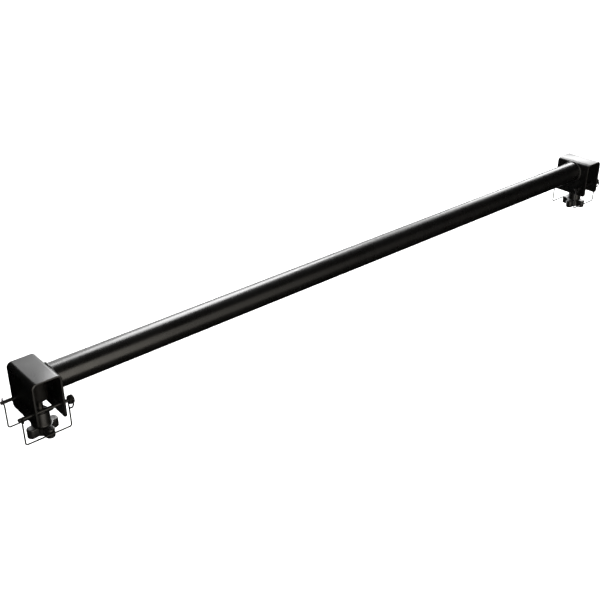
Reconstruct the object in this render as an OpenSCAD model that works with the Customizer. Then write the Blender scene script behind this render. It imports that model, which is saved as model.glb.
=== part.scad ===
// Spreader beam: a round tube with a pinned clamp saddle welded to each end.
// Frame: +X runs along the tube, +Z is up, and the origin is on the tube's axis at mid-length.
// Left is the -X end, right is the +X end, front is the -Y side, rear is the +Y side.

/* [Tube] */
// Length of the tube between the two saddles
tube_length = 1830; // [600:10:3000]
// Outside diameter of the tube
tube_od = 60.3; // [56:0.1:61]
// Wall thickness of the tube
tube_wall = 3.9; // [2.6:0.1:5]
// Leg of the weld bead round each end of the tube
tube_weld_leg = 3.5; // [2:0.5:3.5]

/* [Saddle] */
// Clear width between a saddle's two cheeks
saddle_gap = 57; // [56:1:60]
// Length of a saddle across the tube
saddle_depth = 113; // [104:1:140]
// Height of a saddle, from its top face to the lower edge of its cheeks
saddle_height = 106; // [98:1:108]
// Height of a saddle's top face above the tube's axis
saddle_rise = 34; // [34:0.5:36]
// Thickness of the bent plate
plate = 5; // [4:0.5:6]
// Inside radius of the two bends
bend_inside_r = 7; // [5:0.5:7]
// Radius of the cheeks' lower corners
corner_r = 8; // [4:1:12]

/* [Lock pins] */
// Distance between the two pins of a saddle
pin_spacing = 80; // [80:1:84]
// Depth of the pins below the tube's axis
pin_drop = 43.5; // [42:0.5:46]
// Diameter of a pin's shaft
pin_d = 8; // [7:0.5:8]
// Clearance between a pin and its hole, on the radius
pin_clearance = 0.05; // [0.02:0.01:0.1]
// Distance from the saddle's middle to the tip of a pin
pin_tip_reach = 65; // [62:1:68]
// Distance from the saddle's middle to the inner face of a pin's head
pin_head_reach = 46; // [44:1:50]
// Length of a pin's head
pin_head_length = 12; // [12:0.5:14]
// Diameter of a pin's head
pin_head_d = 20; // [18:0.5:20]
// Width across the two flats of a pin's head
pin_head_flats = 15; // [13:0.5:16]

/* [Wire bails] */
// Diameter of the wire
wire_d = 3.5; // [2.5:0.5:3.5]
// Depth of a bail's bottom run below its pin
bail_drop = 64; // [60:1:66]
// Distance from the saddle's middle to a bail's leg on the head's side
bail_leg_reach = 46.5; // [46:0.5:49]
// Distance from the saddle's middle to the hook that holds the tip
hook_reach = 57; // [55:0.5:59]
// Mean radius of the hook
hook_r = 8.25; // [8:0.05:9]
// How far the hook goes round the tip, from straight below it
hook_angle = 130; // [110:1:133]
// Radius of the wire's bends
wire_bend_r = 5; // [3.5:0.5:7]
// Depth of the yoke under the head, below the pin's axis
yoke_drop = 19; // [18:0.5:20]

/* [Hand screw] */
// Diameter of the boss under the web
boss_d = 42; // [34:1:42]
// Depth of the boss's lower face below the tube's axis
boss_bottom = 37; // [26:1:40]
// Leg of the weld bead round the top of the boss
boss_weld_leg = 3; // [2:0.5:3]
// Nominal diameter of the screw
screw_d = 16; // [12:1:16]
// Clearance between the screw and its bore, on the radius
screw_clearance = 0.05; // [0.02:0.01:0.1]
// Depth of the screw's lower end below the tube's axis
screw_bottom = 117; // [112:1:118]
// Depth of the hub's top face below the tube's axis
hub_top = 68; // [66:1:72]
// Diameter of the knob's hub
hub_d = 38; // [34:1:38]
// Depth of the lobes' top face below the tube's axis
lobe_top = 100; // [97:0.5:101]
// Depth of the lobes' underside below the tube's axis
lobe_bottom = 122; // [120:0.5:124]
// Diameter over the four lobes
knob_d = 74; // [68:1:74]
// Width of a lobe
lobe_w = 21; // [18:0.5:22]
// Turn of each knob from square, about its own axis
knob_turn = 7; // [0:1:20]
// Diameter of the thrust washer
washer_d = 30; // [26:1:32]
// Diameter of the roll pin through the hub
roll_pin_d = 5; // [4:0.5:6]

/* [Hidden] */
$fn = 64;
eps = 0.01;
overcut = 1;
saddle_w = saddle_gap + 2 * plate;
saddle_x = tube_length / 2 + saddle_w / 2;
bend_outside_r = bend_inside_r + plate;
web_under = saddle_rise - plate;
cheek_bottom = saddle_rise - saddle_height;
pin_y = pin_spacing / 2;
tip_chamfer = 1.5;
head_round = 3.5;
// The wire's hinge hole, measured from the saddle's middle
hinge_reach = pin_head_reach + 8;
hinge_play = 0.05;
wire_joint_r = wire_d / 2 + 0.5;
// How far short of a joint's centre a run stops
joint_inset = 1;
yoke_y = pin_head_flats / 2 + wire_joint_r + 0.35;
// The strands turn inwards below the head
yoke_knee_drop = pin_head_d / 2 + wire_joint_r + 0.5;
screw_top = 14;
screw_bore_top = web_under - 1;
washer_t = 3;
washer_play = 0.1;
washer_top = hub_top - washer_play - washer_t;
ring_t = 1.5;
groove_depth = 0.8;
retaining_ring_top = washer_top - washer_play - ring_t;
retaining_ring_gap = 3;
roll_pin_depth = hub_top + 12;
roll_pin_wall = 1;
roll_pin_slot = 0.8;
knob_fillet = 5;
hub_chamfer = 1.5;
ENDS = [["left", -1], ["right", 1]];
SIDES = [["front", -1], ["rear", 1]];

// Filled outline of a saddle in X and Z, as wide as w and rounded by r at its top corners
module saddle_outline(w, top, r) {
    translate([-w / 2, cheek_bottom]) square([w, top - r - cheek_bottom]);
    translate([r - w / 2, cheek_bottom]) square([w - 2 * r, top - cheek_bottom]);
    for (side = [-1, 1]) translate([side * (w / 2 - r), top - r]) circle(r);
}

module saddle_prism(w, top, r, depth) {
    rotate([90, 0, 0]) linear_extrude(depth, center = true) saddle_outline(w, top, r);
}

module outer_prism() {
    saddle_prism(saddle_w, saddle_rise, bend_outside_r, saddle_depth);
}

module inner_prism() {
    saddle_prism(saddle_gap, web_under, bend_inside_r, saddle_depth + 2 * overcut);
}

// A cylinder along X, from x0 to x1
module x_rod(r, x0, x1) {
    translate([x0, 0, 0]) rotate([0, 90, 0]) cylinder(r = r, h = x1 - x0);
}

// What rounds off one lower corner of both cheeks
module corner_cutter() {
    difference() {
        translate([-saddle_w / 2 - overcut, 0, -overcut])
            cube([saddle_w + 2 * overcut, corner_r + overcut, corner_r + overcut]);
        translate([0, 0, corner_r]) x_rod(corner_r, -saddle_w, saddle_w);
    }
}

module saddle() {
    color("#1b1b1d") difference() {
        outer_prism();
        // The inside runs on below the cheeks, so that the channel is open at the bottom
        inner_prism();
        translate([-saddle_gap / 2, -saddle_depth, cheek_bottom - overcut])
            cube([saddle_gap, 2 * saddle_depth, 2 * overcut]);
        for (side = [-1, 1]) {
            translate([0, side * pin_y, -pin_drop])
                x_rod(pin_d / 2 + pin_clearance, -saddle_w, saddle_w);
            mirror([0, side < 0 ? 1 : 0, 0])
                translate([0, saddle_depth / 2 - corner_r, cheek_bottom]) corner_cutter();
        }
    }
}

// The tube's ends follow the saddles' outer bends, which stand back from the cheeks
module main_tube() {
    color("#141416") difference() {
        x_rod(tube_od / 2, -saddle_x, saddle_x);
        x_rod(tube_od / 2 - tube_wall, -saddle_x - overcut, saddle_x + overcut);
        for (end = [-1, 1]) translate([end * saddle_x, 0, 0]) outer_prism();
    }
}

// A fillet ring round the tube's left end, cut to the saddle's bend
module tube_weld() {
    reach = bend_outside_r / 2;
    color("#18181a") difference() {
        translate([saddle_w / 2, 0, 0]) rotate([0, 90, 0]) {
            cylinder(r1 = tube_od / 2 + tube_weld_leg, r2 = tube_od / 2, h = tube_weld_leg);
            translate([0, 0, -reach]) cylinder(r = tube_od / 2 + tube_weld_leg, h = reach);
        }
        x_rod(tube_od / 2, 0, saddle_w);
        outer_prism();
    }
}

module screw_boss() {
    color("#202022") difference() {
        translate([0, 0, -boss_bottom]) cylinder(d = boss_d, h = boss_bottom + web_under);
        translate([0, 0, -boss_bottom - overcut])
            cylinder(d = screw_d, h = boss_bottom + screw_bore_top + overcut);
    }
}

module boss_weld() {
    color("#18181a") intersection() {
        difference() {
            translate([0, 0, web_under - boss_weld_leg])
                cylinder(d1 = boss_d, d2 = boss_d + 2 * boss_weld_leg, h = boss_weld_leg);
            cylinder(d = boss_d, h = 2 * saddle_rise);
        }
        inner_prism();
    }
}

module ring_shape(r_in, r_out, z0, h) {
    difference() {
        translate([0, 0, z0]) cylinder(r = r_out, h = h);
        translate([0, 0, z0 - overcut]) cylinder(r = r_in, h = h + 2 * overcut);
    }
}

module screw_spindle() {
    shaft_r = screw_d / 2 - screw_clearance;
    color("#55565a") difference() {
        union() {
            translate([0, 0, -screw_bottom])
                cylinder(r = shaft_r, h = screw_bottom + screw_top - tip_chamfer);
            translate([0, 0, screw_top - tip_chamfer])
                cylinder(r1 = shaft_r, r2 = shaft_r - tip_chamfer, h = tip_chamfer);
        }
        ring_shape(shaft_r - groove_depth, screw_d, -retaining_ring_top - ring_t, ring_t);
        translate([0, 0, -roll_pin_depth]) x_rod(roll_pin_d / 2, -screw_d, screw_d);
    }
}

module thrust_washer() {
    color("#8b8c90")
        ring_shape(screw_d / 2 + screw_clearance, washer_d / 2, -washer_top - washer_t, washer_t);
}

module retaining_ring() {
    color("#3a3a3c") difference() {
        ring_shape(
            screw_d / 2 - screw_clearance - groove_depth + eps, screw_d / 2 + 1.6,
            -retaining_ring_top - ring_t + eps, ring_t - 2 * eps
        );
        translate([0, -retaining_ring_gap / 2, -retaining_ring_top - 2 * ring_t])
            cube([screw_d, retaining_ring_gap, 3 * ring_t]);
    }
}

// Outline of the four lobes, with a round fillet in each inner corner
module lobes_outline() {
    half = lobe_w / 2;
    centre = knob_d / 2 - half;
    for (turn = [0:90:270]) rotate(turn) {
        translate([0, -half]) square([centre, lobe_w]);
        translate([centre, 0]) circle(half);
        difference() {
            translate([half, half]) square(knob_fillet);
            translate([half + knob_fillet, half + knob_fillet]) circle(knob_fillet);
        }
    }
}

module cross_knob() {
    lobe_h = lobe_bottom - lobe_top;
    color("#1a1a1c") difference() {
        union() {
            translate([0, 0, -lobe_bottom]) rotate(knob_turn) linear_extrude(lobe_h) lobes_outline();
            translate([0, 0, -lobe_bottom])
                cylinder(d = hub_d, h = lobe_bottom - hub_top - hub_chamfer);
            translate([0, 0, -hub_top - hub_chamfer])
                cylinder(d1 = hub_d, d2 = hub_d - 2 * hub_chamfer, h = hub_chamfer);
        }
        translate([0, 0, -lobe_bottom - overcut])
            cylinder(d = screw_d, h = lobe_bottom - hub_top + 2 * overcut);
        translate([0, 0, -roll_pin_depth]) x_rod(roll_pin_d / 2, -hub_d, hub_d);
    }
}

module roll_pin() {
    length = hub_d - 1;
    color("#6a6b6e") translate([0, 0, -roll_pin_depth]) difference() {
        x_rod(roll_pin_d / 2 - eps, -length / 2, length / 2);
        x_rod(roll_pin_d / 2 - roll_pin_wall, -length, length);
        translate([-length, -roll_pin_slot / 2, 0]) cube([2 * length, roll_pin_slot, roll_pin_d]);
    }
}

// A pin's head, turned with rounded rims, with two flats and the hole that the wire turns in
module pin_head() {
    r = pin_head_d / 2;
    difference() {
        translate([pin_head_reach, 0, 0]) rotate([0, 90, 0]) rotate_extrude() intersection() {
            union() {
                square([r - head_round, pin_head_length]);
                translate([0, head_round]) square([r, pin_head_length - 2 * head_round]);
                for (z = [head_round, pin_head_length - head_round])
                    translate([r - head_round, z]) circle(head_round);
            }
            square([r, pin_head_length]);
        }
        for (side = [-1, 1])
            translate([pin_head_reach - overcut, side * (pin_head_flats / 2 + r) - r, -r])
                cube([pin_head_length + 2 * overcut, 2 * r, 2 * r]);
        translate([hinge_reach, 0, 0]) rotate([90, 0, 0])
            cylinder(r = wire_d / 2 + hinge_play, h = pin_head_d, center = true);
    }
}

module lock_pin() {
    r = pin_d / 2;
    color("#2c2c2f") {
        x_rod(r, -pin_tip_reach + tip_chamfer, pin_head_reach + 1);
        translate([-pin_tip_reach, 0, 0]) rotate([0, 90, 0])
            cylinder(r1 = r - tip_chamfer, r2 = r, h = tip_chamfer);
        pin_head();
    }
}

// A straight run of wire, from point a to point b
module wire_run(a, b) {
    d = b - a;
    translate(a) rotate([0, atan2(norm([d.x, d.y]), d.z), atan2(d.y, d.x)])
        cylinder(d = wire_d, h = norm(d));
}

// A quarter bend of the wire in the XZ plane, about centre c, starting at angle a
module wire_bend(c, a) {
    translate(c) rotate([90, 0, 0]) rotate([0, 0, a]) rotate_extrude(angle = 90)
        translate([wire_bend_r, 0]) circle(wire_d / 2);
}

// The thickened place where two runs of wire meet at an angle
module wire_joint(p) {
    translate(p) sphere(wire_joint_r);
}

// The hook under the pin's tip and up its side away from the knob, open above
module wire_hook() {
    translate([-hook_reach, 0, 0]) rotate([0, 90, 0])
        rotate_extrude(angle = hook_angle) translate([hook_r, 0]) circle(wire_d / 2);
}

// The bar that turns in the head's hole, and the two strands that hang from it
module wire_yoke() {
    foot = [bail_leg_reach, 0, -yoke_drop];
    wire_run([hinge_reach, -yoke_y, 0], [hinge_reach, yoke_y, 0]);
    for (side = [-1, 1]) {
        top = [hinge_reach, side * yoke_y, 0];
        knee = [(hinge_reach + bail_leg_reach) / 2, side * yoke_y, -yoke_knee_drop];
        wire_joint(top);
        wire_run(top, knee);
        wire_joint(knee);
        wire_run(knee, foot);
    }
    wire_joint(foot);
}

module wire_bail() {
    leg = bail_leg_reach;
    b = wire_bend_r;
    color("#101012") {
        wire_yoke();
        wire_run([leg, 0, -yoke_drop - joint_inset], [leg, 0, b - bail_drop]);
        wire_bend([leg - b, 0, b - bail_drop], -90);
        wire_run([leg - b, 0, -bail_drop], [b - hook_reach, 0, -bail_drop]);
        wire_bend([b - hook_reach, 0, b - bail_drop], 180);
        wire_run([-hook_reach, 0, b - bail_drop], [-hook_reach, 0, -hook_r - joint_inset]);
        wire_joint([-hook_reach, 0, -hook_r]);
        wire_hook();
    }
}

module at_end(end) {
    translate([end * saddle_x, 0, 0]) children();
}

module at_pin(end, side) {
    translate([end * saddle_x, side * pin_y, -pin_drop]) children();
}

main_tube();
for (end = ENDS) {
    name = end[0];
    s = end[1];
    mirror([s > 0 ? 1 : 0, 0, 0]) at_end(-1) tube_weld();
    at_end(s) saddle();
    at_end(s) screw_boss();
    at_end(s) boss_weld();
    at_end(s) screw_spindle();
    at_end(s) thrust_washer();
    at_end(s) retaining_ring();
    at_end(s) cross_knob();
    at_end(s) roll_pin();
    for (side = SIDES) {
        place = str(name, "_", side[0]);
        at_pin(s, side[1]) lock_pin();
        at_pin(s, side[1]) mirror([0, side[1] < 0 ? 1 : 0, 0]) wire_bail();
    }
}
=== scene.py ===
import math

import bmesh
import bpy
from mathutils import Matrix, Vector


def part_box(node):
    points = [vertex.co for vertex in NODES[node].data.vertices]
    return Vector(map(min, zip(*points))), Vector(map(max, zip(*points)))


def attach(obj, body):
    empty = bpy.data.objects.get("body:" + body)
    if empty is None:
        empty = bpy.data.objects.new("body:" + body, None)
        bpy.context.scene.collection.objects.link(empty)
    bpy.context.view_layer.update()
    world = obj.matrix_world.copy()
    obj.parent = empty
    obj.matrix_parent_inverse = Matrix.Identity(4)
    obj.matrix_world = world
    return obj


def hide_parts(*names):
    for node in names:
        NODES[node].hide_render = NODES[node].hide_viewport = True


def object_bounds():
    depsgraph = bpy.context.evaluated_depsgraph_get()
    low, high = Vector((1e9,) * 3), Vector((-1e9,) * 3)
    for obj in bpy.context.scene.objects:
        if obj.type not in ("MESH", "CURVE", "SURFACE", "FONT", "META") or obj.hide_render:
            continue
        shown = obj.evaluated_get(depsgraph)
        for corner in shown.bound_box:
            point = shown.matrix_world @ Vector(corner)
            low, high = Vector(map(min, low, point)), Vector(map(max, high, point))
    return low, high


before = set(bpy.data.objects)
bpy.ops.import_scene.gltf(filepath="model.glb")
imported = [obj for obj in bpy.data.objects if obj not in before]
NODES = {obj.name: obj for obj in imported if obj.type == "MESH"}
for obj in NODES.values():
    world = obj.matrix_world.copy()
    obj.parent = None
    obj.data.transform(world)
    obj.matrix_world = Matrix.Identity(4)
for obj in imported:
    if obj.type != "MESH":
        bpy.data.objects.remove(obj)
cad_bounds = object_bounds()
MM = 0.001
TAU = 2 * math.pi
ENDS = (("left", -1), ("right", 1))
SIDES = ("front", "rear")
OUTWARD = {"front": -1, "rear": 1}

# Sizes that a node's box doesn't give, in metres and degrees, as in the part's source
WALL = 3.9 * MM
TUBE_WELD_LEG = 3.4 * MM
BOSS_WELD_LEG = 2.9 * MM
PLATE = 5 * MM
BEND_OUT = 12 * MM
BEND_IN = 7 * MM
CORNER = 8 * MM
PIN_HOLE = 4.05 * MM
WIRE_R = 1.75 * MM
WIRE_BEND = 5 * MM
HOOK_R = 8.25 * MM
HOOK_REACH = 57 * MM
HOOK_ANGLE = 130
BAIL_LEG = 46.5 * MM
BAIL_DROP = 64 * MM
HINGE = 54 * MM
YOKE_Y = 10.1 * MM
YOKE_KNEE = 12.75 * MM
YOKE_DROP = 19 * MM
BORE = 8 * MM
WASHER_BORE = BORE + 0.1 * MM
PITCH = 2 * MM
KNOB_REACH = 37 * MM
KNOB_TURN = 7
LOBE_H = 22 * MM
LOBE_HALF = 10.5 * MM
LOBE_FILLET = 5 * MM
HUB_R = 19 * MM


# ---------------------------------------------------------------- meshes
def finish_mesh(me, sharp=35):
    """Joins doubled points, turns faces outwards, and shades smooth up to an angle in degrees."""
    bm = bmesh.new()
    bm.from_mesh(me)
    bmesh.ops.remove_doubles(bm, verts=bm.verts, dist=1e-7)
    bmesh.ops.recalc_face_normals(bm, faces=bm.faces)
    bm.to_mesh(me)
    bm.free()
    for p in me.polygons:
        p.use_smooth = True
    me.set_sharp_from_angle(angle=math.radians(sharp))
    me.update()


def make(name, verts, faces, sharp=35):
    me = bpy.data.meshes.new(name)
    me.from_pydata([tuple(v) for v in verts], [], faces)
    me.update()
    finish_mesh(me, sharp)
    o = bpy.data.objects.new(name, me)
    bpy.context.scene.collection.objects.link(o)
    return o


def bake(o, sharp=35):
    """Applies the object's modifiers to its mesh."""
    dg = bpy.context.evaluated_depsgraph_get()
    me = bpy.data.meshes.new_from_object(o.evaluated_get(dg))
    o.modifiers.clear()
    o.data = me
    finish_mesh(me, sharp)
    return o


def cut(o, other, how="DIFFERENCE"):
    """Combines another object into this one, and removes the other."""
    m = o.modifiers.new("cut", "BOOLEAN")
    m.operation = how
    m.solver = "EXACT"
    m.object = other
    bake(o)
    bpy.data.objects.remove(other)
    return o


def soften(o, width):
    """Rounds the edges sharper than 40 degrees."""
    m = o.modifiers.new("soft", "BEVEL")
    m.width = width
    m.segments = 3
    m.limit_method = "ANGLE"
    m.angle_limit = math.radians(40)
    m.use_clamp_overlap = True
    m.miter_outer = "MITER_ARC"
    n = o.modifiers.new("even", "WEIGHTED_NORMAL")
    n.keep_sharp = True
    return bake(o, 30)


def ring_faces(rows, segs, closed_rows=True):
    """Quads between rows of segs points each. closed_rows joins the last row to the first."""
    out = []
    for i in range(rows if closed_rows else rows - 1):
        a = i * segs
        b = (i + 1) % rows * segs
        for j in range(segs):
            k = (j + 1) % segs
            out.append((a + j, a + k, b + k, b + j))
    return out


def end_caps(count, segs):
    """The first and the last of a stack of rows, each as one face."""
    return [tuple(range(segs - 1, -1, -1)), tuple(range(count - segs, count))]


def arc(cx, cy, r, a0, a1, n):
    """Points round (cx, cy) from a0 to a1 degrees, both included."""
    angles = [math.radians(a0 + (a1 - a0) * i / n) for i in range(n + 1)]
    return [(cx + r * math.cos(a), cy + r * math.sin(a)) for a in angles]


def lathe(name, profile, x, segs):
    """A turned ring or solid about the vertical line at x. profile is a closed loop of (radius, height)."""
    verts = []
    for r, h in profile:
        for j in range(segs):
            t = TAU * j / segs
            verts.append(Vector((r * math.cos(t), r * math.sin(t), h)) + Vector((x, 0, 0)))
    solid = profile[0][0] < 1e-6 and profile[-1][0] < 1e-6
    return make(name, verts, ring_faces(len(profile), segs, not solid))


def prism(name, outline, low, high, axis):
    """An outline extruded along an axis: (a, b) is (x, z) along Y, (y, z) along X and (x, y) along Z."""
    to_point = {"Y": lambda p, d: (p[0], d, p[1]), "X": lambda p, d: (d, p[0], p[1]),
                "Z": lambda p, d: (p[0], p[1], d)}[axis]
    n = len(outline)
    verts = [to_point(p, low) for p in outline] + [to_point(p, high) for p in outline]
    faces = [(i, (i + 1) % n, n + (i + 1) % n, n + i) for i in range(n)]
    faces += [tuple(range(n)), tuple(range(2 * n - 1, n - 1, -1))]
    return make(name, verts, faces)


def rod(name, r, low, high, centre, axis, segs):
    """A round bar along an axis, for drilling."""
    o = prism(name, arc(0, 0, r, 0, 360 * (segs - 1) / segs, segs - 1), low, high, axis)
    o.data.transform(Matrix.Translation(centre))
    return o


def rounded(points, radii, step=9):
    """A line through points, with each inner corner rounded to its radius, in turns of about step degrees."""
    out = [Vector(points[0])]
    for i in range(1, len(points) - 1):
        a, p, b = Vector(points[i - 1]), Vector(points[i]), Vector(points[i + 1])
        u = (a - p).normalized()
        w = (b - p).normalized()
        r = radii[i - 1]
        half = u.angle(w) / 2
        straight = abs(half - math.pi / 2) < 0.01
        if r <= 0 or straight:
            out.append(p)
            continue
        t = min(r / math.tan(half), 0.49 * (a - p).length, 0.49 * (b - p).length)
        r = t * math.tan(half)
        c = p + (u + w).normalized() * (r / math.sin(half))
        s = p + u * t
        e = p + w * t
        turn = math.pi - 2 * half
        n = max(2, math.ceil(math.degrees(turn) / step))
        axis = (s - c).cross(e - c).normalized()
        for k in range(n + 1):
            out.append(c + Matrix.Rotation(turn * k / n, 3, axis) @ (s - c))
    out.append(Vector(points[-1]))
    return out


def sweep(name, path, r):
    """A round wire along a path, with domed ends."""
    segs = 20
    dome_rows = 4
    dome_height = 0.7 * r
    pts = [Vector(path[0])]
    for p in path[1:]:
        if (Vector(p) - pts[-1]).length > 1e-6:
            pts.append(Vector(p))
    along = []
    for i in range(len(pts)):
        a = pts[max(i - 1, 0)]
        b = pts[min(i + 1, len(pts) - 1)]
        along.append((b - a).normalized())
    side = along[0].orthogonal().normalized()
    rows = []
    for i, p in enumerate(pts):
        if i:
            side = along[i - 1].rotation_difference(along[i]) @ side
            side = (side - along[i] * side.dot(along[i])).normalized()
        rows.append((p, side.copy(), along[i], r))
    quarter = [k * math.pi / 2 / dome_rows for k in range(1, dome_rows)]
    p, s, t, _ = rows[0]
    first = [(p - t * dome_height * math.cos(q), s, t, r * math.sin(q)) for q in quarter]
    p, s, t, _ = rows[-1]
    last = [(p + t * dome_height * math.sin(q), s, t, r * math.cos(q)) for q in quarter]
    rows = first + rows + last
    verts = []
    for p, s, t, size in rows:
        b = t.cross(s)
        for j in range(segs):
            q = TAU * j / segs
            verts.append(p + (s * math.cos(q) + b * math.sin(q)) * size)
    faces = ring_faces(len(rows), segs, False) + end_caps(len(verts), segs)
    return make(name, verts, faces, 60)


def finish_node(name, material):
    """Gives a CAD node that stays its material."""
    NODES[name].data.materials.clear()
    NODES[name].data.materials.append(material)


def place(o, body, material, node):
    """Puts a piece on its body, in place of its CAD node."""
    o.data.materials.clear()
    o.data.materials.append(material)
    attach(o, body)
    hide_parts(node)


# ------------------------------------------------------------- materials
class Nodes:
    """A small node tree that ends in a Principled shader."""

    def __init__(self, name, **sockets):
        self.mat = bpy.data.materials.new(name)
        self.mat.use_nodes = True
        self.tree = self.mat.node_tree
        self.tree.nodes.clear()
        self.out = self.tree.nodes.new("ShaderNodeOutputMaterial")
        self.bsdf = self.tree.nodes.new("ShaderNodeBsdfPrincipled")
        self.link(self.bsdf.outputs[0], self.out.inputs["Surface"])
        for key, value in sockets.items():
            self.bsdf.inputs[key.replace("_", " ")].default_value = value
        self.coords = self.tree.nodes.new("ShaderNodeTexCoord").outputs["Object"]

    def link(self, a, b):
        self.tree.links.new(a, b)

    def noise(self, scale, detail, rough=0.55, stretch=None):
        n = self.tree.nodes.new("ShaderNodeTexNoise")
        n.inputs["Scale"].default_value = scale
        n.inputs["Detail"].default_value = detail
        n.inputs["Roughness"].default_value = rough
        coords = self.coords
        if stretch:
            m = self.tree.nodes.new("ShaderNodeMapping")
            m.inputs["Scale"].default_value = stretch
            self.link(coords, m.inputs["Vector"])
            coords = m.outputs[0]
        self.link(coords, n.inputs["Vector"])
        return n.outputs["Fac"]

    def ramp(self, value, low, high):
        """A colour ramp between two stops of (position, colour)."""
        r = self.tree.nodes.new("ShaderNodeValToRGB")
        for e, (at, colour) in zip(r.color_ramp.elements, (low, high)):
            e.position = at
            e.color = (*colour, 1)
        self.link(value, r.inputs["Fac"])
        return r.outputs["Color"]

    def spread(self, value, low, high):
        """Stretches a noise's usual 0.3 to 0.7 over low to high."""
        m = self.tree.nodes.new("ShaderNodeMapRange")
        for key, v in (("From Min", 0.3), ("From Max", 0.7), ("To Min", low), ("To Max", high)):
            m.inputs[key].default_value = v
        self.link(value, m.inputs["Value"])
        return m.outputs["Result"]

    def mix(self, factor, a, b):
        m = self.tree.nodes.new("ShaderNodeMix")
        m.data_type = "RGBA"
        self.link(factor, m.inputs["Factor"])
        self.link(a, m.inputs["A"])
        self.link(b, m.inputs["B"])
        return m.outputs["Result"]

    def bump(self, *layers):
        """Bump from (height, strength, distance in metres) layers, one on the other."""
        normal = None
        for height, strength, distance in layers:
            b = self.tree.nodes.new("ShaderNodeBump")
            b.inputs["Strength"].default_value = strength
            b.inputs["Distance"].default_value = distance
            self.link(height, b.inputs["Height"])
            if normal:
                self.link(normal, b.inputs["Normal"])
            normal = b.outputs["Normal"]
        self.link(normal, self.bsdf.inputs["Normal"])

    def set(self, key, value):
        self.link(value, self.bsdf.inputs[key])


BLACK = (0, 0, 0)
WHITE = (1, 1, 1)


def coat(name, dark, light, rough, peel=0.12):
    """Black powder coat: orange peel, a faint cloudiness, and a fine scatter of dust and rubs."""
    n = Nodes(name, IOR=1.5, Metallic=0.0)
    cloud = n.noise(9, 4, 0.6)
    fine = n.noise(420, 3, 0.5)
    speck = n.noise(1500, 2, 0.6)
    base = n.ramp(cloud, (0.3, dark), (0.72, light))
    rub = n.ramp(n.noise(60, 6, 0.7, (0.35, 1, 1)), (0.66, BLACK), (0.82, WHITE))
    dust = tuple(2.2 * c for c in light)
    worn = n.ramp(speck, (0.35, light), (0.75, dust))
    n.set("Base Color", n.mix(rub, base, worn))
    n.set("Roughness", n.spread(n.noise(26, 5, 0.62), *rough))
    n.bump((fine, peel, 0.12 * MM), (speck, peel * 0.5, 0.04 * MM))
    return n.mat


def metal(name, dark, light, rough, metallic=1.0, grain=(1, 1, 1), scale=900, strength=0.1):
    """Bare, blackened or plated steel with a directional grain."""
    n = Nodes(name, Metallic=metallic, IOR=1.5)
    cloud = n.noise(70, 5, 0.65)
    lines = n.noise(scale, 3, 0.6, grain)
    n.set("Base Color", n.ramp(cloud, (0.32, dark), (0.7, light)))
    n.set("Roughness", n.spread(n.noise(160, 4, 0.6), *rough))
    n.bump((lines, strength, 0.06 * MM), (n.noise(260, 4, 0.6), strength, 0.08 * MM))
    return n.mat


TUBE = coat("tube_powder_coat", (0.0012, 0.0012, 0.0011), (0.0020, 0.0019, 0.0018), (0.24, 0.32))
SADDLE = coat("saddle_powder_coat", (0.0014, 0.0014, 0.0013), (0.0026, 0.0025, 0.0023), (0.26, 0.36), 0.16)
BEAD = coat("weld_under_coat", (0.0015, 0.0015, 0.0014), (0.0030, 0.0028, 0.0026), (0.28, 0.40), 0.22)
BOSS = coat("boss_coat", (0.0020, 0.0018, 0.0016), (0.0050, 0.0044, 0.0038), (0.30, 0.44), 0.18)
KNOB = coat("cast_knob_coat", (0.0022, 0.0021, 0.0019), (0.0045, 0.0042, 0.0038), (0.26, 0.38), 0.35)
SCREW = metal("screw_steel", (0.06, 0.058, 0.055), (0.16, 0.155, 0.148), (0.30, 0.46), grain=(1, 1, 9))
ZINC = metal("washer_zinc", (0.20, 0.20, 0.21), (0.38, 0.38, 0.38), (0.28, 0.42), scale=500)
PIN = metal("pin_black_oxide", (0.012, 0.012, 0.012), (0.030, 0.029, 0.028), (0.26, 0.38),
            metallic=0.85, grain=(6, 1, 1), scale=700, strength=0.08)
WIRE = metal("wire_black_spring", (0.010, 0.010, 0.010), (0.026, 0.025, 0.024), (0.24, 0.36),
             metallic=0.8, scale=800, strength=0.06)


# ------------------------------------------------------------ the pieces
saddles = {}
for end, _ in ENDS:
    lo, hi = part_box(f"saddle_{end}")
    saddles[end] = {"x": (lo.x + hi.x) / 2, "w": (hi.x - lo.x) / 2, "d": (hi.y - lo.y) / 2,
                    "top": hi.z, "bottom": lo.z}
lo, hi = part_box("main_tube")
TUBE_R = (hi.z - lo.z) / 2


def cheek_x(sad, z):
    """How far the tube-side cheek's outer face stands from the saddle's middle, at height z."""
    over = z - (sad["top"] - BEND_OUT)
    if over <= 0:
        return sad["w"]
    return sad["w"] - BEND_OUT + math.sqrt(max(BEND_OUT**2 - over**2, 0))


def tube():
    """The tube, coped at both ends to the saddles' bends."""
    segs = 144
    rows = 96
    a = saddles["left"]
    b = saddles["right"]
    verts = []
    for r in (TUBE_R, TUBE_R - WALL):
        for i in range(rows + 1):
            f = i / rows
            for j in range(segs):
                t = TAU * j / segs
                y = r * math.cos(t)
                z = r * math.sin(t)
                x0 = a["x"] + cheek_x(a, z)
                x1 = b["x"] - cheek_x(b, z)
                verts.append((x0 + (x1 - x0) * f, y, z))
    n = (rows + 1) * segs
    outer = ring_faces(rows + 1, segs, False)
    inner = [tuple(n + v for v in reversed(f)) for f in outer]
    ends = []
    for base in (0, rows * segs):
        for j in range(segs):
            k = (j + 1) % segs
            ends.append((base + j, base + k, n + base + k, n + base + j))
    return make("tube_body", verts, outer + inner + ends, 50)


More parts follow.
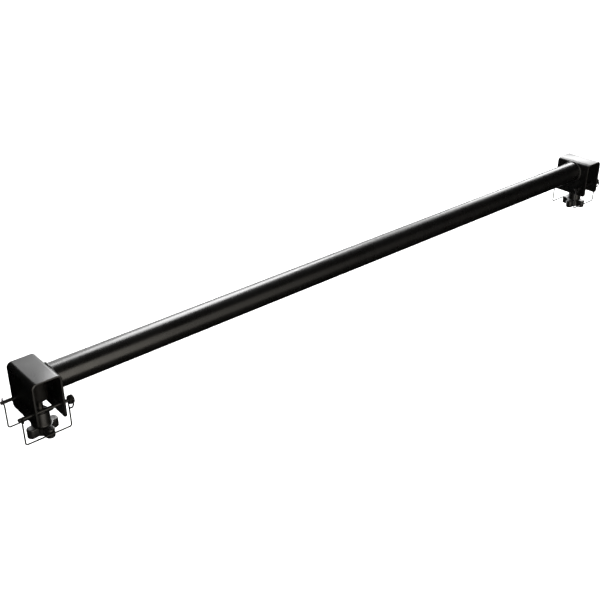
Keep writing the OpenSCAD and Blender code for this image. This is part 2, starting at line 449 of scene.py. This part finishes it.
def bead(name, segs, leg, at, ripples, seed):
    """A fillet weld. at(t) gives its corner and the directions along the two walls, at angle t."""
    steps = 7
    sunk = 0.12 * leg
    verts = []
    for j in range(segs):
        t = TAU * j / segs
        corner, u, w = at(t)
        # Overlapping ripples along the bead, whose size wavers a little and whose face is crowned
        beat = (t * ripples / TAU + 0.12 * math.sin(3 * t + seed)) % 1.0
        swell = 1 + 0.10 * math.sin(5 * t + seed) + 0.05 * math.sin(11 * t + 2 * seed)
        rise = (0.10 + 0.20 * (1 - abs(2 * beat - 1) ** 1.6)) * leg
        size = leg * min(swell, 1.08) * 0.93
        foot = size * 0.98
        for k in range(steps + 1):
            f = k / steps
            crown = (u + w).normalized() * rise * math.sin(math.pi * f)
            verts.append(corner + u * size * (1 - f) + w * size * f + crown)
        verts.append(corner - u * sunk + w * foot)
        verts.append(corner - (u + w) * sunk)
        verts.append(corner - w * sunk + u * foot)
    return make(name, verts, ring_faces(segs, steps + 4), 50)


def tube_bead(end, s):
    """The weld round the tube, on its saddle's cheek."""
    sad = saddles[end]
    overlap = 0.2 * MM

    def at(t):
        z = TUBE_R * math.sin(t)
        corner = Vector((sad["x"] - s * (cheek_x(sad, z) - overlap), TUBE_R * math.cos(t), z))
        return corner, Vector((0, math.cos(t), math.sin(t))), Vector((-s, 0, 0))

    return bead(f"tube_bead_{end}", 420, TUBE_WELD_LEG, at, 46, 1.0 + s)


def boss_bead(end, s):
    """The weld round the boss, under the web."""
    lo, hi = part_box(f"screw_boss_{end}")
    boss_r = (hi.x - lo.x) / 2
    x = saddles[end]["x"]

    def at(t):
        u = Vector((math.cos(t), math.sin(t), 0))
        return Vector((x, 0, hi.z)) + u * boss_r, u, Vector((0, 0, -1))

    return bead(f"boss_bead_{end}", 300, BOSS_WELD_LEG, at, 30, 2.0 + s)


def saddle(end):
    """The bent plate, with its rounded lower corners, its four pin holes and softened edges."""
    sad = saddles[end]
    w, d, top, bottom = sad["w"], sad["d"], sad["top"], sad["bottom"]
    c = w - BEND_OUT
    zc = top - BEND_OUT
    beyond = 1 * MM
    out = [(-w, bottom)] + arc(-c, zc, BEND_OUT, 180, 90, 14)
    out += arc(c, zc, BEND_OUT, 90, 0, 14) + [(w, bottom)]
    inner = [(w - PLATE, bottom)] + arc(c, zc, BEND_IN, 0, 90, 12)
    inner += arc(-c, zc, BEND_IN, 90, 180, 12) + [(PLATE - w, bottom)]
    o = prism(f"saddle_plate_{end}", out + inner, -d, d, "Y")
    side = [(-d, top + beyond), (d, top + beyond)]
    side += arc(d - CORNER, bottom + CORNER, CORNER, 0, -90, 10)
    side += arc(CORNER - d, bottom + CORNER, CORNER, -90, -180, 10)
    cut(o, prism("side_cut", side, -2 * w, 2 * w, "X"), "INTERSECT")
    for where in SIDES:
        lo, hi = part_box(f"lock_pin_left_{where}")
        centre = (0, (lo.y + hi.y) / 2, (lo.z + hi.z) / 2)
        cut(o, rod("hole", PIN_HOLE, -2 * w, 2 * w, centre, "X", 40))
    soften(o, 0.9 * MM)
    o.data.transform(Matrix.Translation((sad["x"], 0, 0)))
    return o


def boss(end):
    """The turned boss, with a broken lower edge and a countersunk bore."""
    lo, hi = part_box(f"screw_boss_{end}")
    r = (hi.x - lo.x) / 2
    sink = 0.8 * MM
    edge = 1.2 * MM
    profile = [(BORE, lo.z + sink), (BORE + sink, lo.z), (r - edge, lo.z),
               (r - 0.35 * edge, lo.z + 0.35 * edge), (r, lo.z + edge), (r, hi.z), (BORE, hi.z)]
    return lathe(f"boss_turned_{end}", profile, saddles[end]["x"], 96)


def washer(end):
    """The thrust washer, chamfered on all four edges."""
    lo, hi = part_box(f"thrust_washer_{end}")
    r = (hi.x - lo.x) / 2
    c = 0.5 * MM
    profile = [(WASHER_BORE + c, lo.z), (r - c, lo.z), (r, lo.z + c), (r, hi.z - c), (r - c, hi.z),
               (WASHER_BORE + c, hi.z), (WASHER_BORE, hi.z - c), (WASHER_BORE, lo.z + c)]
    return lathe(f"washer_turned_{end}", profile, saddles[end]["x"], 72)


def spindle_rows(bottom, top, groove):
    """Heights of the spindle's rows: coarse on the plain shank, eight to a turn on the thread."""
    rows = []
    z = bottom
    while z < groove[0] - 1e-9:
        rows.append(z)
        z += 6 * MM if bottom < z < groove[0] - 7 * MM else 1 * MM
    rows += [groove[0], groove[0] + 0.01 * MM, groove[1] - 0.01 * MM, groove[1]]
    z = groove[1] + 0.4 * MM
    while z < top - 1e-9:
        rows.append(z)
        z += PITCH / 8
    return rows + [top]


def spindle(end):
    """The M16 screw: chamfered ends, a right-hand thread down to the ring's groove, a plain shank below."""
    segs = 40
    x = saddles[end]["x"]
    r = BORE - 0.05 * MM
    core = 6.95 * MM
    flank = (0.14, 0.84)
    lo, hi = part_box(f"screw_spindle_{end}")
    ring_lo, ring_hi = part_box(f"retaining_ring_{end}")
    rows = spindle_rows(lo.z, hi.z, (ring_lo.z, ring_hi.z))
    verts = []
    for z in rows:
        for j in range(segs):
            t = TAU * j / segs
            size = min(r, r - 1.5 * MM + (hi.z - z), r - 1.2 * MM + (z - lo.z))
            if ring_lo.z < z < ring_hi.z:
                size = r - 0.8 * MM
            if z > ring_hi.z + 1 * MM:
                f = abs(2 * ((z / PITCH - t / TAU) % 1.0) - 1)
                f = (f - flank[0]) / (flank[1] - flank[0])
                size = min(size, core + (r - core) * min(max(f, 0), 1))
            verts.append((x + size * math.cos(t), size * math.sin(t), z))
    faces = ring_faces(len(rows), segs, False) + end_caps(len(verts), segs)
    return make(f"screw_threaded_{end}", verts, faces, 28)


def lobe_outline():
    """Points of the four-lobed outline, each with its outward direction."""
    centre = KNOB_REACH - LOBE_HALF
    notch = LOBE_HALF + LOBE_FILLET
    quarter = []
    for p in arc(centre, 0, LOBE_HALF, -90, 90, 20):
        a = math.atan2(p[1], p[0] - centre)
        quarter.append((p, (math.cos(a), math.sin(a))))
    for p in arc(notch, notch, LOBE_FILLET, -90, -180, 7)[:-1]:
        a = math.atan2(p[1] - notch, p[0] - notch)
        quarter.append((p, (-math.cos(a), -math.sin(a))))
    ring = []
    for q in range(4):
        turn = Matrix.Rotation(math.radians(90 * q + KNOB_TURN), 2)
        ring += [(turn @ Vector(p), turn @ Vector(out)) for p, out in quarter]
    return ring


def lobes(name, bottom, top):
    """The cross of four lobes, with rounded upper and lower edges."""
    soft = 2.6 * MM
    turns = [math.radians(90 * k / 6) for k in range(7)]
    rows = [(soft * (1 - math.sin(t)), bottom + soft * (1 - math.cos(t))) for t in turns]
    rows += [(soft * (1 - math.cos(t)), top - soft * (1 - math.sin(t))) for t in turns]
    ring = lobe_outline()
    verts = [(*(p - out * inset), z) for inset, z in rows for p, out in ring]
    faces = ring_faces(len(rows), len(ring), False) + end_caps(len(verts), len(ring))
    return make(name, verts, faces, 30)


def hub_profile(bottom, lobe_top, top):
    """The hub: drawn in a little towards its top, with a fillet where it meets the lobes."""
    fillet = 3.5 * MM
    edge = 1.5 * MM
    chamfer = 0.6 * MM
    top_r = HUB_R - 0.6 * MM
    profile = [(0, bottom + chamfer), (HUB_R - chamfer, bottom + chamfer), (HUB_R, bottom + 2 * chamfer),
               (HUB_R, lobe_top - 0.5 * MM)]
    for a in range(0, 91, 15):
        t = math.radians(a)
        profile.append((HUB_R + fillet * (1 - math.sin(t)), lobe_top - 0.2 * MM + fillet * (1 - math.cos(t))))
    profile.append((top_r, top - edge))
    for a in (20, 45, 70, 90):
        t = math.radians(a)
        profile.append((top_r - edge + edge * math.cos(t), top - edge + edge * math.sin(t)))
    return profile + [(0, top)]


def knob(end):
    """The cast cross grip, bored for the spindle and drilled for the roll pin."""
    lo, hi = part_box(f"cross_knob_{end}")
    pin_lo, pin_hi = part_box(f"roll_pin_{end}")
    lobe_top = lo.z + LOBE_H
    beyond = 5 * MM
    o = lobes(f"cross_grip_{end}", lo.z, lobe_top)
    cut(o, lathe("hub", hub_profile(lo.z, lobe_top, hi.z), 0, 80), "UNION")
    cut(o, rod("bore", BORE, lo.z - beyond, hi.z + beyond, (0, 0, 0), "Z", 48))
    pin_r = (pin_hi.z - pin_lo.z) / 2
    pin_at = (0, 0, (pin_lo.z + pin_hi.z) / 2)
    cut(o, rod("pin_hole", pin_r, -2 * HUB_R, 2 * HUB_R, pin_at, "X", 32))
    finish_mesh(o.data, 32)
    o.data.transform(Matrix.Translation((saddles[end]["x"], 0, 0)))
    return o


def bail(end, where):
    """One wire: the hook, the leg, the foot run, the other leg, and the yoke through the head's eye."""
    out = OUTWARD[where]
    lo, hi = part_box(f"lock_pin_{end}_{where}")
    hook = []
    for a in range(HOOK_ANGLE, 15, -8):
        t = math.radians(a)
        hook.append((-HOOK_REACH, out * HOOK_R * math.sin(t), -HOOK_R * math.cos(t)))
    knee_x = (HINGE + BAIL_LEG) / 2
    corners = [
        ((-HOOK_REACH, out * 0.4 * MM, -HOOK_R - 0.2 * MM), 2.6 * MM),
        ((-HOOK_REACH, 0, -BAIL_DROP), WIRE_BEND),
        ((BAIL_LEG, 0, -BAIL_DROP), WIRE_BEND),
        ((BAIL_LEG, 0, -YOKE_DROP), 2.5 * MM),
        ((knee_x, YOKE_Y, -YOKE_KNEE), 3 * MM),
        ((HINGE, YOKE_Y, 0), 2.2 * MM),
        ((HINGE, -YOKE_Y, 0), 2.2 * MM),
        ((knee_x, -YOKE_Y, -YOKE_KNEE), 3 * MM),
    ]
    tail = (BAIL_LEG + 0.5 * MM, -1.4 * MM, -YOKE_DROP - 0.2 * MM)
    line = rounded([hook[-1]] + [p for p, _ in corners] + [tail], [r for _, r in corners])
    o = sweep(f"bail_wire_{end}_{where}", [Vector(p) for p in hook[:-1]] + line, WIRE_R)
    o.data.transform(Matrix.Translation((saddles[end]["x"], (lo.y + hi.y) / 2, (lo.z + hi.z) / 2)))
    return o


place(tube(), "frame", TUBE, "main_tube")
for end, s in ENDS:
    place(saddle(end), "frame", SADDLE, f"saddle_{end}")
    place(tube_bead(end, s), "frame", BEAD, f"tube_weld_{end}")
    place(boss(end), "frame", BOSS, f"screw_boss_{end}")
    place(boss_bead(end, s), "frame", BEAD, f"boss_weld_{end}")
    place(spindle(end), f"screw_{end}", SCREW, f"screw_spindle_{end}")
    place(washer(end), f"washer_{end}", ZINC, f"thrust_washer_{end}")
    place(knob(end), f"screw_{end}", KNOB, f"cross_knob_{end}")
    finish_node(f"retaining_ring_{end}", SCREW)
    finish_node(f"roll_pin_{end}", ZINC)
    for where in SIDES:
        finish_node(f"lock_pin_{end}_{where}", PIN)
        place(bail(end, where), f"bail_{end}_{where}", WIRE, f"wire_bail_{end}_{where}")


# ---------------------------------------------------- camera and lights
CAMERA_AT = (-1.57265, -1.54658, 1.04487)
CAMERA_PITCH = math.radians(28.4016)
CAMERA_HEADING = math.radians(49.152)

scene = bpy.context.scene
cam_data = bpy.data.cameras.new("camera")
cam_data.sensor_width = 36
cam_data.lens = 55.4463
cam_data.clip_start = 0.01
cam_data.clip_end = 100
cam = bpy.data.objects.new("camera", cam_data)
scene.collection.objects.link(cam)
forward = Vector((math.cos(CAMERA_PITCH) * math.cos(CAMERA_HEADING),
                  math.cos(CAMERA_PITCH) * math.sin(CAMERA_HEADING), -math.sin(CAMERA_PITCH)))
right = Vector((math.sin(CAMERA_HEADING), -math.cos(CAMERA_HEADING), 0))
up = right.cross(forward)
turn = Matrix((right, up, -forward)).transposed().to_4x4()
cam.matrix_world = Matrix.Translation(CAMERA_AT) @ turn
scene.camera = cam
scene.view_settings.view_transform = "Standard"
scene.view_settings.look = "None"


def softbox(name, at, target, width, height, radiance, colour=(1, 1, 1)):
    light = bpy.data.lights.new(name, "AREA")
    light.shape = "RECTANGLE"
    light.size = width
    light.size_y = height
    light.energy = radiance * math.pi * width * height
    light.color = colour
    o = bpy.data.objects.new(name, light)
    scene.collection.objects.link(o)
    o.location = at
    o.rotation_euler = (Vector(target) - Vector(at)).to_track_quat("-Z", "Y").to_euler()
    o.visible_camera = False


# The rear boxes give the coat's upper highlight, and the front ones its warm lower band,
# which fades towards the right end
WARM = (1.0, 0.94, 0.84)
softbox("rear_key", (1.55, 2.45, 3.25), (-0.5, 0, 0), 1.8, 3.0, 13.0)
softbox("rear_broad", (3.0, 4.0, 3.0), (-0.3, 0, 0), 6.4, 4.4, 2.3)
softbox("rear_far", (4.9, 2.5, 1.9), (0.9, 0, 0), 2.2, 1.5, 7.0)
softbox("rear_low", (1.9, 3.4, -1.0), (-0.6, 0, 0), 4.0, 1.6, 4.0)
softbox("front_near", (-0.9, -3.0, 0.2), (-0.9, 0, 0.1), 3.0, 3.4, 2.8, WARM)
softbox("front_middle", (1.3, -3.2, 0.2), (0, 0, 0.1), 1.4, 3.2, 0.7, WARM)
softbox("front_far", (3.2, -3.4, 0.2), (0.5, 0, 0.1), 2.0, 3.0, 0.1, WARM)

FLOOR_GAP = 0.13
FLOOR_HALF = 30
FLOOR_THICK = 0.02
floor_z = cad_bounds[0].z - FLOOR_GAP
floor_corners = [(-FLOOR_HALF, -FLOOR_HALF), (FLOOR_HALF, -FLOOR_HALF), (FLOOR_HALF, FLOOR_HALF),
                 (-FLOOR_HALF, FLOOR_HALF)]
floor = prism("studio_floor", floor_corners, floor_z - FLOOR_THICK, floor_z, "Z")
paper = Nodes("floor_paper", Roughness=0.9, Specular_IOR_Level=0.1)
paper.set("Base Color", paper.ramp(paper.noise(3, 4), (0.3, (0.90, 0.90, 0.90)), (0.7, (0.93, 0.93, 0.93))))
floor.data.materials.append(paper.mat)
# The pale floor isn't mirrored in the black coat, and lets the low boxes' light through
floor.visible_glossy = False
floor.visible_shadow = False

world = bpy.data.worlds.new("studio")
scene.world = world
world.use_nodes = True
sky = world.node_tree.nodes["Background"]
sky.inputs["Color"].default_value = (1, 1, 1, 1)
sky.inputs["Strength"].default_value = 1.15
world.cycles_visibility.glossy = False
